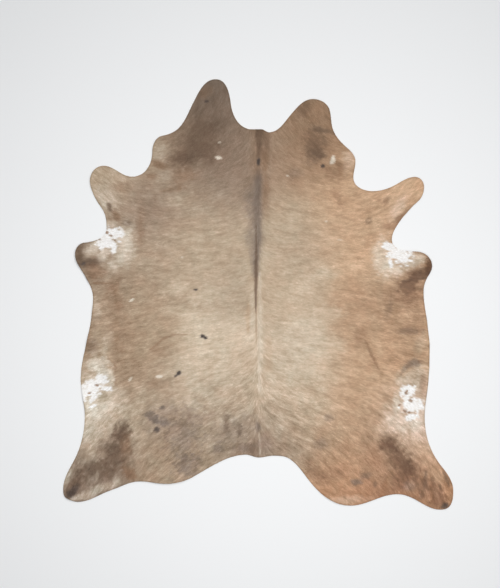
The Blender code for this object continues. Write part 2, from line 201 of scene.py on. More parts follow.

# Some of the marks are painted shade and painted highlights on the elbows' lobes and the right flank's
# folds.
# Clouds, flecks and scars. turn is the long axis, anticlockwise from +X. cover is how far the
# pigment hides the ground colour, soft the width of its edge and ragged how uneven that edge is.
Mark = namedtuple("Mark", "name right along turn half_length half_width pigment cover soft ragged")
MARKS = [
    Mark("left neck, cloud", -0.315, 1.812, 42, 0.140, 0.068, UMBER, 0.52, 0.7, 0.6),
    Mark("left neck, core", -0.288, 1.798, 20, 0.065, 0.045, UMBER, 0.52, 0.7, 0.6),
    Mark("left neck, upper cloud", -0.272, 1.905, 0, 0.055, 0.040, UMBER, 0.45, 0.7, 0.5),
    Mark("left neck, lower cloud", -0.385, 1.752, 10, 0.050, 0.028, UMBER, 0.45, 0.6, 0.6),
    Mark("left neck, inner cloud", -0.230, 1.757, 70, 0.045, 0.022, UMBER, 0.35, 0.7, 0.6),
    Mark("left neck, fleck", -0.257, 2.035, 0, 0.013, 0.007, SOOT, 0.60, 0.5, 0.3),
    Mark("left neck, tip", -0.267, 2.087, 40, 0.040, 0.030, BARK, 0.35, 0.7, 0.4),
    Mark("left cheek, pale", -0.490, 1.782, 75, 0.052, 0.036, PALE, 0.42, 0.7, 0.5),
    Mark("left cheek, lower edge", -0.492, 1.717, -25, 0.045, 0.018, BARK, 0.62, 0.5, 0.4),
    Mark("left throat", -0.535, 1.662, 0, 0.025, 0.015, BARK, 0.35, 0.6, 0.4),
    Mark("left throat, pale", -0.462, 1.667, 20, 0.050, 0.030, PALE, 0.35, 0.6, 0.4),
    Mark("left shoulder, flecks", -0.432, 1.597, 5, 0.050, 0.015, BARK, 0.36, 0.6, 0.8),
    Mark("left shoulder, upper flecks", -0.387, 1.612, 0, 0.030, 0.015, BARK, 0.25, 0.6, 0.8),
    Mark("left foreleg, dark", -0.688, 1.605, 10, 0.040, 0.024, BARK, 0.34, 0.7, 0.6),
    Mark("left foreleg, pale", -0.742, 1.545, 115, 0.066, 0.042, PALE, 0.66, 0.7, 0.4),
    Mark("left foreleg, olive fleck", -0.744, 1.510, 110, 0.022, 0.012, UMBER, 0.68, 0.5, 0.5),
    Mark("left foreleg, brown fleck", -0.710, 1.466, 115, 0.030, 0.015, BARK, 0.62, 0.6, 0.5),
    Mark("left foreleg, pale rim", -0.764, 1.462, 100, 0.055, 0.012, PALE, 0.50, 0.6, 0.3),
    Mark("left armpit, dark corner", -0.657, 1.428, 0, 0.024, 0.014, UMBER, 0.62, 0.5, 0.4),
    Mark("left flank, long hair", -0.587, 1.417, 88, 0.110, 0.020, BARK, 0.34, 0.8, 0.5),
    Mark("left armpit, halo", -0.665, 1.320, 85, 0.095, 0.050, CREAM, 0.62, 0.6, 0.4),
    # Left elbow: the outer side, the band and the smoky side are partly the coat's own colour and partly
    # painted shade on the lobe's turned-down end, its crease and its lower side; the pale mark is partly a
    # painted highlight on the lobe's top.
    Mark("left elbow, outer side", -0.888, 1.275, 88, 0.055, 0.024, UMBER, 0.62, 0.6, 0.4),
    Mark("left elbow, band", -0.842, 1.232, 8, 0.055, 0.020, UMBER, 0.75, 0.6, 0.5),
    Mark("left elbow, black fleck", -0.873, 1.226, 30, 0.013, 0.008, SOOT, 0.60, 0.5, 0.3),
    Mark("left elbow, pale", -0.828, 1.292, 20, 0.040, 0.026, PALE, 0.78, 0.6, 0.4),
    Mark("left elbow, cream", -0.766, 1.280, 60, 0.046, 0.026, CREAM, 0.62, 0.6, 0.4),
    Mark("left elbow, smoky side", -0.815, 1.188, -20, 0.045, 0.034, BARK, 0.55, 0.7, 0.5),
    Mark("left flank, brown", -0.702, 0.937, 88, 0.210, 0.045, BARK, 0.25, 0.8, 0.7),
    Mark("left flank, brown fleck", -0.700, 1.022, 85, 0.030, 0.018, BARK, 0.35, 0.6, 0.6),
    Mark("left flank, edge", -0.812, 0.957, 85, 0.035, 0.015, BARK, 0.40, 0.6, 0.4),
    Mark("left belly, edge", -0.852, 0.797, 85, 0.110, 0.015, BARK, 0.40, 0.7, 0.4),
    Mark("left stifle, dark top", -0.830, 0.815, 90, 0.034, 0.032, UMBER, 0.42, 0.7, 0.5),
    Mark("left stifle, brown", -0.660, 0.700, 90, 0.125, 0.070, BARK, 0.20, 0.8, 0.7),
    Mark("left stifle, pale", -0.800, 0.560, 90, 0.210, 0.070, PALE, 0.70, 0.5, 0.4),
    Mark("left stifle, cream above", -0.772, 0.690, 60, 0.042, 0.028, CREAM, 0.50, 0.7, 0.5),
    Mark("left stifle, cream below", -0.788, 0.490, 0, 0.045, 0.032, CREAM, 0.55, 0.7, 0.5),
    Mark("left stifle, olive", -0.777, 0.557, 20, 0.028, 0.022, OLIVE, 0.60, 0.5, 0.5),
    Mark("left shank, pale", -0.838, 0.375, 90, 0.060, 0.040, PALE, 0.40, 0.7, 0.4),
    Mark("left hip, first fleck", -0.479, 0.512, 0, 0.013, 0.009, SOOT, 0.50, 0.5, 0.5),
    Mark("left hip, second fleck", -0.525, 0.460, -25, 0.032, 0.019, SLATE, 0.60, 0.6, 0.7),
    Mark("left hip, third fleck", -0.478, 0.434, -30, 0.034, 0.020, SLATE, 0.64, 0.6, 0.7),
    Mark("left hip, fourth fleck", -0.508, 0.400, 0, 0.015, 0.012, SOOT, 0.75, 0.5, 0.4),
    Mark("left hip, cloud", -0.492, 0.447, 60, 0.085, 0.065, SLATE, 0.24, 0.8, 0.6),
    Mark("left rump, cloud", -0.370, 0.365, 78, 0.120, 0.065, SLATE, 0.40, 0.8, 0.8),
    Mark("left rump, upper cloud", -0.385, 0.475, 0, 0.070, 0.030, SMOKE, 0.38, 0.8, 0.8),
    Mark("left rump, lower cloud", -0.350, 0.218, 40, 0.062, 0.040, SLATE, 0.42, 0.8, 0.8),
    Mark("tail, first fleck", -0.160, 0.438, 88, 0.044, 0.014, UMBER, 0.50, 0.7, 0.8),
    Mark("tail, second fleck", -0.094, 0.400, 88, 0.030, 0.012, UMBER, 0.58, 0.6, 0.6),
    Mark("tail, cloud", -0.120, 0.395, 20, 0.110, 0.060, SLATE, 0.22, 0.8, 0.7),
    Mark("tail, head", -0.003, 0.412, 90, 0.022, 0.014, SLATE, 0.52, 0.6, 0.4),
    Mark("tail, dark side", -0.030, 0.308, 80, 0.040, 0.030, UMBER, 0.55, 0.7, 0.5),
    Mark("tail, rosy side", 0.037, 0.328, 90, 0.040, 0.034, MAUVE, 0.45, 0.7, 0.4),
    Mark("left leg, top", -0.683, 0.385, 60, 0.050, 0.035, UMBER, 0.86, 0.6, 0.6),
    Mark("left leg, middle", -0.712, 0.270, 68, 0.092, 0.052, UMBER, 0.80, 0.7, 0.7),
    Mark("left leg, lower part", -0.812, 0.212, 12, 0.076, 0.030, UMBER, 0.72, 0.7, 0.7),
    Mark("left leg, base", -0.762, 0.182, 5, 0.095, 0.030, UMBER, 0.55, 0.8, 0.7),
    Mark("left leg, front", -0.908, 0.135, 52, 0.062, 0.027, UMBER, 0.72, 0.7, 0.6),
    Mark("left hock, tip", -0.925, 0.090, 45, 0.038, 0.020, SOOT, 0.62, 0.6, 0.4),
    Mark("left hock, outer edge", -0.958, 0.150, 64, 0.062, 0.015, PALE, 0.62, 0.6, 0.4),
    Mark("left leg, pale streak", -0.805, 0.170, 88, 0.030, 0.008, PALE, 0.42, 0.6, 0.4),
    Mark("left leg, pale patch", -0.705, 0.160, 70, 0.030, 0.016, PALE, 0.35, 0.7, 0.5),
    Mark("left leg, tan side", -0.838, 0.300, 55, 0.048, 0.030, TAUPE, 0.50, 0.7, 0.4),
    Mark("left thigh, brown edge", -0.640, 0.178, -52, 0.048, 0.022, BARK, 0.70, 0.6, 0.6),
    Mark("right neck, line", 0.320, 1.890, -12, 0.060, 0.013, UMBER, 0.50, 0.6, 0.5),
    Mark("right neck, cloud", 0.280, 1.815, 85, 0.085, 0.048, UMBER, 0.48, 0.7, 0.6),
    Mark("right neck, lower cloud", 0.290, 1.772, -15, 0.045, 0.028, UMBER, 0.48, 0.6, 0.6),
    Mark("right neck, fleck", 0.321, 1.713, 0, 0.010, 0.010, SOOT, 0.80, 0.4, 0.3),
    Mark("right cheek, dark", 0.407, 1.715, -20, 0.025, 0.017, BARK, 0.50, 0.6, 0.4),
    Mark("right cheek, pale", 0.455, 1.748, 80, 0.052, 0.030, BLUSH, 0.50, 0.7, 0.4),
    Mark("right shoulder, soft spot", 0.180, 1.677, 0, 0.035, 0.025, SLATE, 0.22, 0.8, 0.4),
    Mark("right shoulder, streak", 0.397, 1.557, -58, 0.050, 0.017, BARK, 0.34, 0.7, 0.7),
    Mark("right foreleg, fleck", 0.637, 1.543, 60, 0.022, 0.016, BARK, 0.45, 0.6, 0.5),
    Mark("right foreleg, inner fleck", 0.600, 1.545, 0, 0.015, 0.010, BARK, 0.30, 0.6, 0.5),
    Mark("right foreleg, pale", 0.700, 1.510, 60, 0.062, 0.027, BLUSH, 0.52, 0.7, 0.4),
    Mark("right foreleg, brown edge", 0.738, 1.492, 52, 0.040, 0.010, BARK, 0.45, 0.6, 0.5),
    Mark("right upper arm, brown", 0.700, 1.450, 50, 0.026, 0.014, BARK, 0.65, 0.6, 0.5),
    Mark("right upper arm, rusty", 0.652, 1.417, 5, 0.036, 0.017, CHESTNUT, 0.42, 0.7, 0.5),
    Mark("right foreleg, ring", 0.549, 1.441, 0, 0.016, 0.014, UMBER, 0.50, 0.4, 0.2),
    Mark("right foreleg, ring's middle", 0.549, 1.441, 0, 0.009, 0.008, TAN, 0.85, 0.4, 0.0),
    Mark("right armpit, halo", 0.618, 1.262, 88, 0.090, 0.046, CREAM, 0.58, 0.6, 0.4),
    Mark("right armpit, lower halo", 0.690, 1.177, 20, 0.036, 0.024, BLUSH, 0.60, 0.7, 0.5),
    # Right elbow: the outer side, band, lower side and fading side are partly the coat's own colour and
    # partly painted shade on the lobe's turned-down end, its crease and the swelling below; the pale mark
    # is partly a painted highlight on the lobe's top.
    Mark("right elbow, outer side", 0.850, 1.216, 88, 0.052, 0.020, COCOA, 0.86, 0.6, 0.4),
    Mark("right elbow, band", 0.802, 1.172, 8, 0.054, 0.024, COCOA, 0.70, 0.6, 0.5),
    Mark("right elbow, lower side", 0.748, 1.118, 20, 0.054, 0.034, COCOA, 0.74, 0.7, 0.6),
    Mark("right elbow, fading side", 0.738, 1.062, 8, 0.078, 0.040, BARK, 0.58, 0.8, 0.6),
    Mark("right elbow, pale", 0.786, 1.248, 10, 0.046, 0.034, CREAM, 0.62, 0.7, 0.4),
    Mark("right flank, dark", 0.650, 1.002, 85, 0.045, 0.017, UMBER, 0.32, 0.7, 0.7),
    # Painted shade in the troughs of the right flank's waves.
    Mark("right flank, under the wave", 0.757, 0.892, 0, 0.055, 0.017, UMBER, 0.50, 0.6, 0.5),
    Mark("right flank, under the fold", 0.772, 0.727, 14, 0.040, 0.020, UMBER, 0.72, 0.6, 0.5),
    Mark("right belly, dark", 0.502, 0.852, 80, 0.045, 0.025, BARK, 0.25, 0.8, 0.7),
    Mark("right stifle, pale", 0.785, 0.655, 88, 0.075, 0.055, PALE, 0.60, 0.6, 0.4),
    Mark("right stifle, brown edge", 0.822, 0.622, 92, 0.050, 0.018, CHESTNUT, 0.42, 0.6, 0.5),
    Mark("right stifle, halo", 0.688, 0.465, 62, 0.085, 0.056, BLUSH, 0.68, 0.7, 0.5),
    Mark("right shank, pale", 0.780, 0.405, 85, 0.070, 0.056, BLUSH, 0.75, 0.6, 0.4),
    Mark("right shank, cream", 0.752, 0.425, 0, 0.050, 0.035, CREAM, 0.50, 0.7, 0.4),
    Mark("right shank, outer side", 0.835, 0.275, -50, 0.110, 0.034, TAN, 0.50, 0.7, 0.4),
    Mark("right leg, top", 0.652, 0.328, -10, 0.044, 0.040, COCOA, 0.74, 0.7, 0.6),
    Mark("right leg, middle", 0.718, 0.232, -50, 0.092, 0.048, COCOA, 0.58, 0.7, 0.7),
    Mark("right leg, dark core", 0.747, 0.198, -60, 0.048, 0.036, COCOA, 0.55, 0.7, 0.6),
    Mark("right leg, rusty end", 0.700, 0.132, 60, 0.045, 0.030, CHESTNUT, 0.65, 0.7, 0.6),
    Mark("right leg, rosy end", 0.755, 0.118, 40, 0.030, 0.026, MAUVE, 0.50, 0.7, 0.5),
    Mark("right hock, brown", 0.856, 0.100, -42, 0.090, 0.048, CHESTNUT, 0.64, 0.8, 0.6),
    Mark("right hock, brown end", 0.902, 0.056, 60, 0.042, 0.030, CHESTNUT, 0.92, 0.7, 0.5),
    Mark("right hock, peach side", 0.888, 0.165, -60, 0.034, 0.020, TAN, 0.55, 0.7, 0.4),
    Mark("right hock, dark tip", 0.930, 0.018, 20, 0.022, 0.012, SOOT, 0.62, 0.6, 0.4),
    Mark("right thigh, fleck", 0.492, 0.140, 10, 0.026, 0.015, SLATE, 0.52, 0.6, 0.6),
    Mark("right thigh, soft fleck", 0.532, 0.168, 20, 0.028, 0.016, SLATE, 0.28, 0.7, 0.6),
    Mark("right thigh, small fleck", 0.583, 0.126, 88, 0.014, 0.009, UMBER, 0.40, 0.6, 0.5),
    Mark("right hip, soft fleck", 0.315, 0.332, 0, 0.030, 0.025, SLATE, 0.28, 0.8, 0.6),
    Mark("right hip, grey fleck", 0.352, 0.460, 0, 0.025, 0.017, SLATE, 0.28, 0.7, 0.6),
    Mark("right thigh, rosy edge", 0.440, 0.046, 2, 0.110, 0.022, BLUSH, 0.42, 0.7, 0.4),
    Mark("left neck, scar", -0.197, 1.755, -12, 0.017, 0.008, CREAM, 0.95, 0.4, 0.4),
    Mark("left neck, small scar", -0.194, 1.831, 0, 0.008, 0.005, CREAM, 0.60, 0.4, 0.3),
    Mark("left ribs, scar", -0.382, 1.257, 0, 0.008, 0.005, CREAM, 0.70, 0.4, 0.3),
    Mark("left flank, scar", -0.632, 1.045, 30, 0.013, 0.006, CREAM, 0.85, 0.4, 0.3),
    Mark("left loin, scar", -0.269, 0.947, 0, 0.008, 0.004, CREAM, 0.45, 0.4, 0.3),
    Mark("left hip, scar", -0.497, 0.664, 5, 0.015, 0.008, CREAM, 0.95, 0.4, 0.3),
    Mark("left stifle, scar", -0.640, 0.649, 55, 0.014, 0.007, CREAM, 0.85, 0.4, 0.3),
    Mark("right cheek, scar", 0.370, 1.743, 78, 0.021, 0.011, CREAM, 0.92, 0.4, 0.4),
    Mark("right neck, small scar", 0.145, 1.664, 0, 0.007, 0.005, CREAM, 0.70, 0.4, 0.3),
    Mark("right ribs, small scar", 0.337, 1.437, 0, 0.007, 0.005, CREAM, 0.60, 0.4, 0.3),
    Mark("right ribs, scar", 0.405, 1.345, 0, 0.013, 0.004, CREAM, 0.45, 0.4, 0.3),
    Mark("left ribs, black fleck", -0.314, 1.097, 0, 0.011, 0.006, SOOT, 0.90, 0.4, 0.5),
    Mark("left loin, black fleck", -0.278, 0.864, 10, 0.011, 0.008, SOOT, 0.92, 0.4, 0.5),
    Mark("left loin, second black fleck", -0.262, 0.857, 0, 0.009, 0.007, SOOT, 0.90, 0.4, 0.5),
    Mark("left hip, black fleck", -0.396, 0.680, 20, 0.014, 0.009, SOOT, 0.88, 0.4, 0.5),
    Mark("left hip, black fleck's tail", -0.414, 0.667, 30, 0.008, 0.005, SOOT, 0.70, 0.4, 0.3),
    Mark("spine, black fleck", 0.000, 1.734, 88, 0.018, 0.009, SOOT, 0.82, 0.4, 0.4),
    Mark("tuft on the neck, right side", 0.035, 1.835, 88, 0.055, 0.020, UMBER, 0.46, 0.8, 0.4),
    Mark("spine, brown side of the band", 0.036, 1.560, 88, 0.075, 0.018, BARK, 0.48, 0.8, 0.5),
    Mark("spine, brown side of the fleck", 0.036, 1.740, 88, 0.050, 0.014, BARK, 0.42, 0.8, 0.4),
    Mark("right cheek, brown below the scar", 0.375, 1.680, -20, 0.050, 0.030, BARK, 0.48, 0.8, 0.6),
    Mark("right neck, dark corner", 0.225, 2.000, 60, 0.050, 0.028, UMBER, 0.42, 0.8, 0.4),
    Mark("left shoulder, brown", -0.380, 1.665, 0, 0.060, 0.030, BARK, 0.38, 0.8, 0.7),
    Mark("left shoulder, pale", -0.395, 1.540, 8, 0.060, 0.030, OAT, 0.36, 0.8, 0.6),
    Mark("left foreleg, cream rim", -0.780, 1.545, 115, 0.045, 0.014, CREAM, 0.45, 0.7, 0.3),
    Mark("left armpit, cream above the white", -0.735, 1.425, 0, 0.036, 0.015, CREAM, 0.60, 0.6, 0.4),
    Mark("left armpit, cream rim", -0.805, 1.325, 5, 0.034, 0.015, CREAM, 0.62, 0.5, 0.3),
    Mark("left armpit, cream beside the white", -0.660, 1.340, 85, 0.046, 0.022, CREAM, 0.60, 0.7, 0.4),
    Mark("left armpit, cream below the white", -0.705, 1.255, 50, 0.046, 0.032, CREAM, 0.48, 0.7, 0.5),
    Mark("left armpit, pale foot", -0.720, 1.210, 80, 0.036, 0.028, PALE, 0.50, 0.7, 0.5),
    Mark("left elbow, brown below it", -0.725, 1.110, 80, 0.045, 0.028, BARK, 0.45, 0.8, 0.6),
    Mark("left belly, pale rim", -0.808, 0.990, 88, 0.060, 0.018, PALE, 0.50, 0.7, 0.4),
    Mark("left ribs, pale", -0.260, 1.065, 5, 0.070, 0.030, OAT, 0.48, 0.8, 0.6),
    Mark("left ribs, outer pale", -0.400, 1.100, 8, 0.055, 0.026, OAT, 0.42, 0.8, 0.6),
    Mark("left back, pale", -0.320, 0.970, 5, 0.075, 0.032, OAT, 0.48, 0.8, 0.6),
    Mark("left back, outer pale", -0.455, 0.990, 8, 0.042, 0.024, OAT, 0.40, 0.8, 0.6),
    Mark("left flank, pale", -0.755, 0.840, 75, 0.045, 0.026, PALE, 0.42, 0.8, 0.5),
    Mark("left flank, brown in the curve", -0.495, 0.790, 10, 0.050, 0.035, BARK, 0.28, 0.8, 0.7),
    Mark("left hip, brown streak", -0.485, 0.620, 8, 0.065, 0.030, BARK, 0.25, 0.8, 0.7),
    Mark("left stifle, cream top", -0.808, 0.725, 0, 0.060, 0.034, CREAM, 0.50, 0.7, 0.4),
    Mark("left stifle, cream strip", -0.735, 0.660, 85, 0.045, 0.020, CREAM, 0.46, 0.7, 0.4),
    Mark("left stifle, inner pale", -0.685, 0.550, 80, 0.050, 0.030, PALE, 0.50, 0.8, 0.5),
    Mark("left leg, brown inner side", -0.660, 0.315, 85, 0.060, 0.026, BARK, 0.55, 0.7, 0.6),
    Mark("left leg, spot on the outer side", -0.780, 0.315, 50, 0.036, 0.022, UMBER, 0.38, 0.7, 0.6),
    Mark("left leg, dark upper side", -0.732, 0.350, 70, 0.040, 0.022, UMBER, 0.40, 0.7, 0.6),
    Mark("tail, left spot", -0.202, 0.306, 20, 0.024, 0.022, SLATE, 0.42, 0.8, 0.7),
    Mark("tail, inner spot", -0.074, 0.306, 0, 0.035, 0.020, SLATE, 0.35, 0.8, 0.7),
    Mark("left rump, grey-brown", -0.410, 0.392, 20, 0.045, 0.030, SMOKE, 0.42, 0.8, 0.7),
    Mark("left croup, streaks", -0.275, 0.455, 15, 0.060, 0.032, SMOKE, 0.40, 0.8, 0.8),
    Mark("right ribs, outer pale", 0.340, 1.175, 5, 0.050, 0.028, OAT, 0.42, 0.8, 0.6),
    Mark("right ribs, pale", 0.235, 1.115, 5, 0.055, 0.032, OAT, 0.45, 0.8, 0.6),
    Mark("right back, pale", 0.370, 0.985, -5, 0.050, 0.030, OAT, 0.48, 0.8, 0.6),
    Mark("right loin, dull", 0.095, 0.865, 80, 0.100, 0.045, BEIGE, 0.50, 0.8, 0.6),
    Mark("right loin, pale", 0.380, 0.830, -25, 0.060, 0.030, OAT, 0.48, 0.8, 0.6),
    Mark("right belly, pale rim", 0.805, 0.830, 86, 0.045, 0.028, BEIGE, 0.55, 0.8, 0.4),
    Mark("right armpit, cream below the white", 0.675, 1.205, 5, 0.042, 0.024, CREAM, 0.55, 0.7, 0.4),
    Mark("right armpit, pale below the white", 0.740, 1.210, 10, 0.034, 0.020, PALE, 0.50, 0.7, 0.4),
    Mark("right stifle, pale strip", 0.715, 0.645, 75, 0.045, 0.028, PALE, 0.48, 0.7, 0.5),
    Mark("right stifle, cream beside the white", 0.690, 0.535, 88, 0.045, 0.018, CREAM, 0.45, 0.7, 0.4),
    Mark("right thigh, dark edge", 0.285, 0.185, -50, 0.075, 0.026, BARK, 0.55, 0.7, 0.5),
    Mark("right thigh, brown", 0.380, 0.180, 20, 0.060, 0.035, CHESTNUT, 0.36, 0.8, 0.7),
]

# White patches with torn edges, and the brown specks in them.
Patch = namedtuple("Patch", "name right along turn half_length half_width")
WHITES = [
    Patch("left arm, upper part", -0.722, 1.380, 0, 0.052, 0.030),
    Patch("left arm, outer part", -0.765, 1.360, 30, 0.030, 0.022),
    Patch("left arm, middle", -0.756, 1.330, 5, 0.052, 0.032),
    Patch("left arm, lower tip", -0.722, 1.298, 80, 0.022, 0.014),
    Patch("left stifle, upper part", -0.782, 0.650, 25, 0.034, 0.028),
    Patch("left stifle, middle", -0.832, 0.598, 55, 0.058, 0.044),
    Patch("left stifle, outer part", -0.868, 0.600, 80, 0.036, 0.020),
    Patch("left stifle, inner part", -0.758, 0.601, 5, 0.027, 0.012),
    Patch("left stifle, dots", -0.826, 0.516, 20, 0.018, 0.009),
    Patch("right arm, upper part", 0.652, 1.312, -20, 0.036, 0.020),
    Patch("right arm, middle", 0.710, 1.272, -8, 0.060, 0.046),
    Patch("right arm, streak", 0.660, 1.226, 88, 0.028, 0.009),
    Patch("right stifle, upper part", 0.746, 0.590, 20, 0.040, 0.032),
    Patch("right stifle, middle", 0.768, 0.521, 5, 0.064, 0.037),
    Patch("right stifle, lower part", 0.765, 0.461, 0, 0.032, 0.018),
]
SPECKS = [
    Patch("right stifle, first", 0.738, 0.585, 80, 0.013, 0.009),
    Patch("right stifle, second", 0.758, 0.543, -20, 0.010, 0.006),
    Patch("right stifle, third", 0.703, 0.522, 20, 0.009, 0.007),
    Patch("right stifle, fourth", 0.728, 0.493, -30, 0.011, 0.007),
    Patch("right stifle, fifth", 0.753, 0.485, 0, 0.008, 0.006),
    Patch("left stifle, first", -0.805, 0.620, 0, 0.008, 0.007),
    Patch("left stifle, second", -0.842, 0.582, 0, 0.009, 0.006),
    Patch("left arm, first", -0.756, 1.383, 0, 0.008, 0.008),
    Patch("left arm, second", -0.737, 1.367, -30, 0.009, 0.006),
    Patch("left arm, third", -0.718, 1.343, 0, 0.008, 0.005),
]

# Stripes in the coat, and painted shade along its creases and folds. Each point is (right, along, half
# width).
Stripe = namedtuple("Stripe", "name pigment cover soft points")
STRIPES = [
    Stripe("spine, grey band", SLATE, 0.48, 0.9, [
        (0.002, 1.690, 0.014), (-0.005, 1.635, 0.022), (-0.017, 1.560, 0.042), (-0.017, 1.500, 0.040),
        (-0.014, 1.440, 0.031), (-0.017, 1.350, 0.035), (-0.015, 1.270, 0.023), (-0.013, 1.170, 0.015),
    ]),
    Stripe("spine, core of the band", SLATE, 0.42, 0.8, [
        (0.000, 1.660, 0.014), (-0.001, 1.600, 0.014), (-0.006, 1.530, 0.020), (-0.004, 1.440, 0.017),
        (0.000, 1.370, 0.016), (-0.006, 1.300, 0.014), (-0.011, 1.230, 0.010),
    ]),
    Stripe("spine, brown veil on the neck", BARK, 0.35, 0.9, [
        (0.002, 1.900, 0.040), (0.004, 1.800, 0.034), (0.004, 1.700, 0.030),
    ]),
    Stripe("spine, tuft on the neck", UMBER, 0.85, 0.6, [
        (0.002, 1.905, 0.021), (0.003, 1.860, 0.019), (0.002, 1.815, 0.014),
    ]),
    Stripe("spine, below the tuft", UMBER, 0.55, 0.7, [
        (0.001, 1.800, 0.009), (-0.001, 1.765, 0.010),
    ]),
    Stripe("spine, dark line on the back", UMBER, 0.80, 0.6, [
        (-0.013, 1.420, 0.0025), (-0.012, 1.330, 0.0035), (-0.012, 1.250, 0.006), (-0.012, 1.180, 0.009),
        (-0.013, 1.105, 0.008), (-0.014, 1.040, 0.005), (-0.013, 0.985, 0.003),
    ]),
    Stripe("spine, hairline", BARK, 0.45, 0.7, [
        (-0.012, 0.990, 0.0025), (-0.011, 0.900, 0.0025), (-0.011, 0.820, 0.0015),
    ]),
    Stripe("parting, left of the spine", CREAM, 0.20, 0.8, [
        (-0.030, 1.080, 0.009), (-0.030, 0.960, 0.012), (-0.034, 0.860, 0.010),
    ]),
    Stripe("parting, right of the spine", CREAM, 0.34, 0.8, [
        (0.006, 1.175, 0.007), (0.006, 1.000, 0.013), (0.006, 0.800, 0.013), (0.006, 0.600, 0.009),
    ]),
    Stripe("loin, tan streak", FAWN, 0.34, 0.8, [
        (-0.052, 1.025, 0.006), (-0.052, 0.960, 0.011), (-0.052, 0.890, 0.006),
    ]),
    Stripe("loin, rosy streak", TAN, 0.30, 0.9, [(0.050, 0.840, 0.018), (0.053, 0.705, 0.022)]),
    Stripe("tail, pale line", CREAM, 0.35, 0.7, [(0.004, 0.385, 0.003), (0.008, 0.275, 0.004)]),
    Stripe("left flank, curved line", BARK, 0.42, 0.7, [
        (-0.542, 0.797, 0.003), (-0.512, 0.820, 0.006), (-0.467, 0.857, 0.006),
        (-0.422, 0.872, 0.005), (-0.357, 0.872, 0.002),
    ]),
    # Painted shade along the left flank's crease.
    Stripe("left flank, crease", BARK, 0.55, 0.7, [
        (-0.762, 0.768, 0.005), (-0.718, 0.713, 0.010), (-0.712, 0.620, 0.004),
    ]),
    Stripe("right ribs, scar line", BARK, 0.16, 0.7, [
        (0.352, 1.482, 0.003), (0.412, 1.462, 0.006), (0.472, 1.442, 0.006), (0.522, 1.437, 0.003),
    ]),
    # Painted shade along the right flank's crease and fold.
    Stripe("right flank, crease", BARK, 0.55, 0.7, [
        (0.532, 0.848, 0.003), (0.547, 0.812, 0.007), (0.570, 0.760, 0.009), (0.600, 0.700, 0.004),
    ]),
    Stripe("right flank, fold", UMBER, 0.50, 0.7, [
        (0.707, 0.670, 0.004), (0.725, 0.697, 0.008), (0.747, 0.715, 0.010),
        (0.777, 0.730, 0.010), (0.807, 0.742, 0.005),
    ]),
    # Painted shade along the elbows' creases.
    Stripe("right elbow, crease", UMBER, 0.60, 0.7, [
        (0.712, 1.138, 0.004), (0.775, 1.147, 0.008), (0.838, 1.155, 0.005),
    ]),
    Stripe("left elbow, crease", BARK, 0.50, 0.7, [
        (-0.823, 1.130, 0.004), (-0.785, 1.130, 0.008), (-0.742, 1.127, 0.003),
    ]),
    Stripe("left leg, pale lower edge", PALE, 0.66, 0.6, [
        (-0.930, 0.056, 0.010), (-0.860, 0.068, 0.022), (-0.790, 0.104, 0.022), (-0.700, 0.138, 0.016),
    ]),
    Stripe("right hock, inner streak", UMBER, 0.52, 0.7, [
        (0.835, 0.190, 0.006), (0.828, 0.130, 0.012), (0.812, 0.062, 0.010),
    ]),
    Stripe("right hock, middle streak", UMBER, 0.48, 0.7, [
        (0.865, 0.158, 0.008), (0.873, 0.115, 0.015), (0.880, 0.070, 0.008),
    ]),
    Stripe("right hock, outer streak", UMBER, 0.60, 0.7, [
        (0.905, 0.122, 0.005), (0.912, 0.060, 0.010), (0.918, 0.020, 0.012),
    ]),
    Stripe("right hock, edge", UMBER, 0.50, 0.7, [
        (0.925, 0.188, 0.007), (0.940, 0.150, 0.010), (0.952, 0.118, 0.005),
    ]),
]

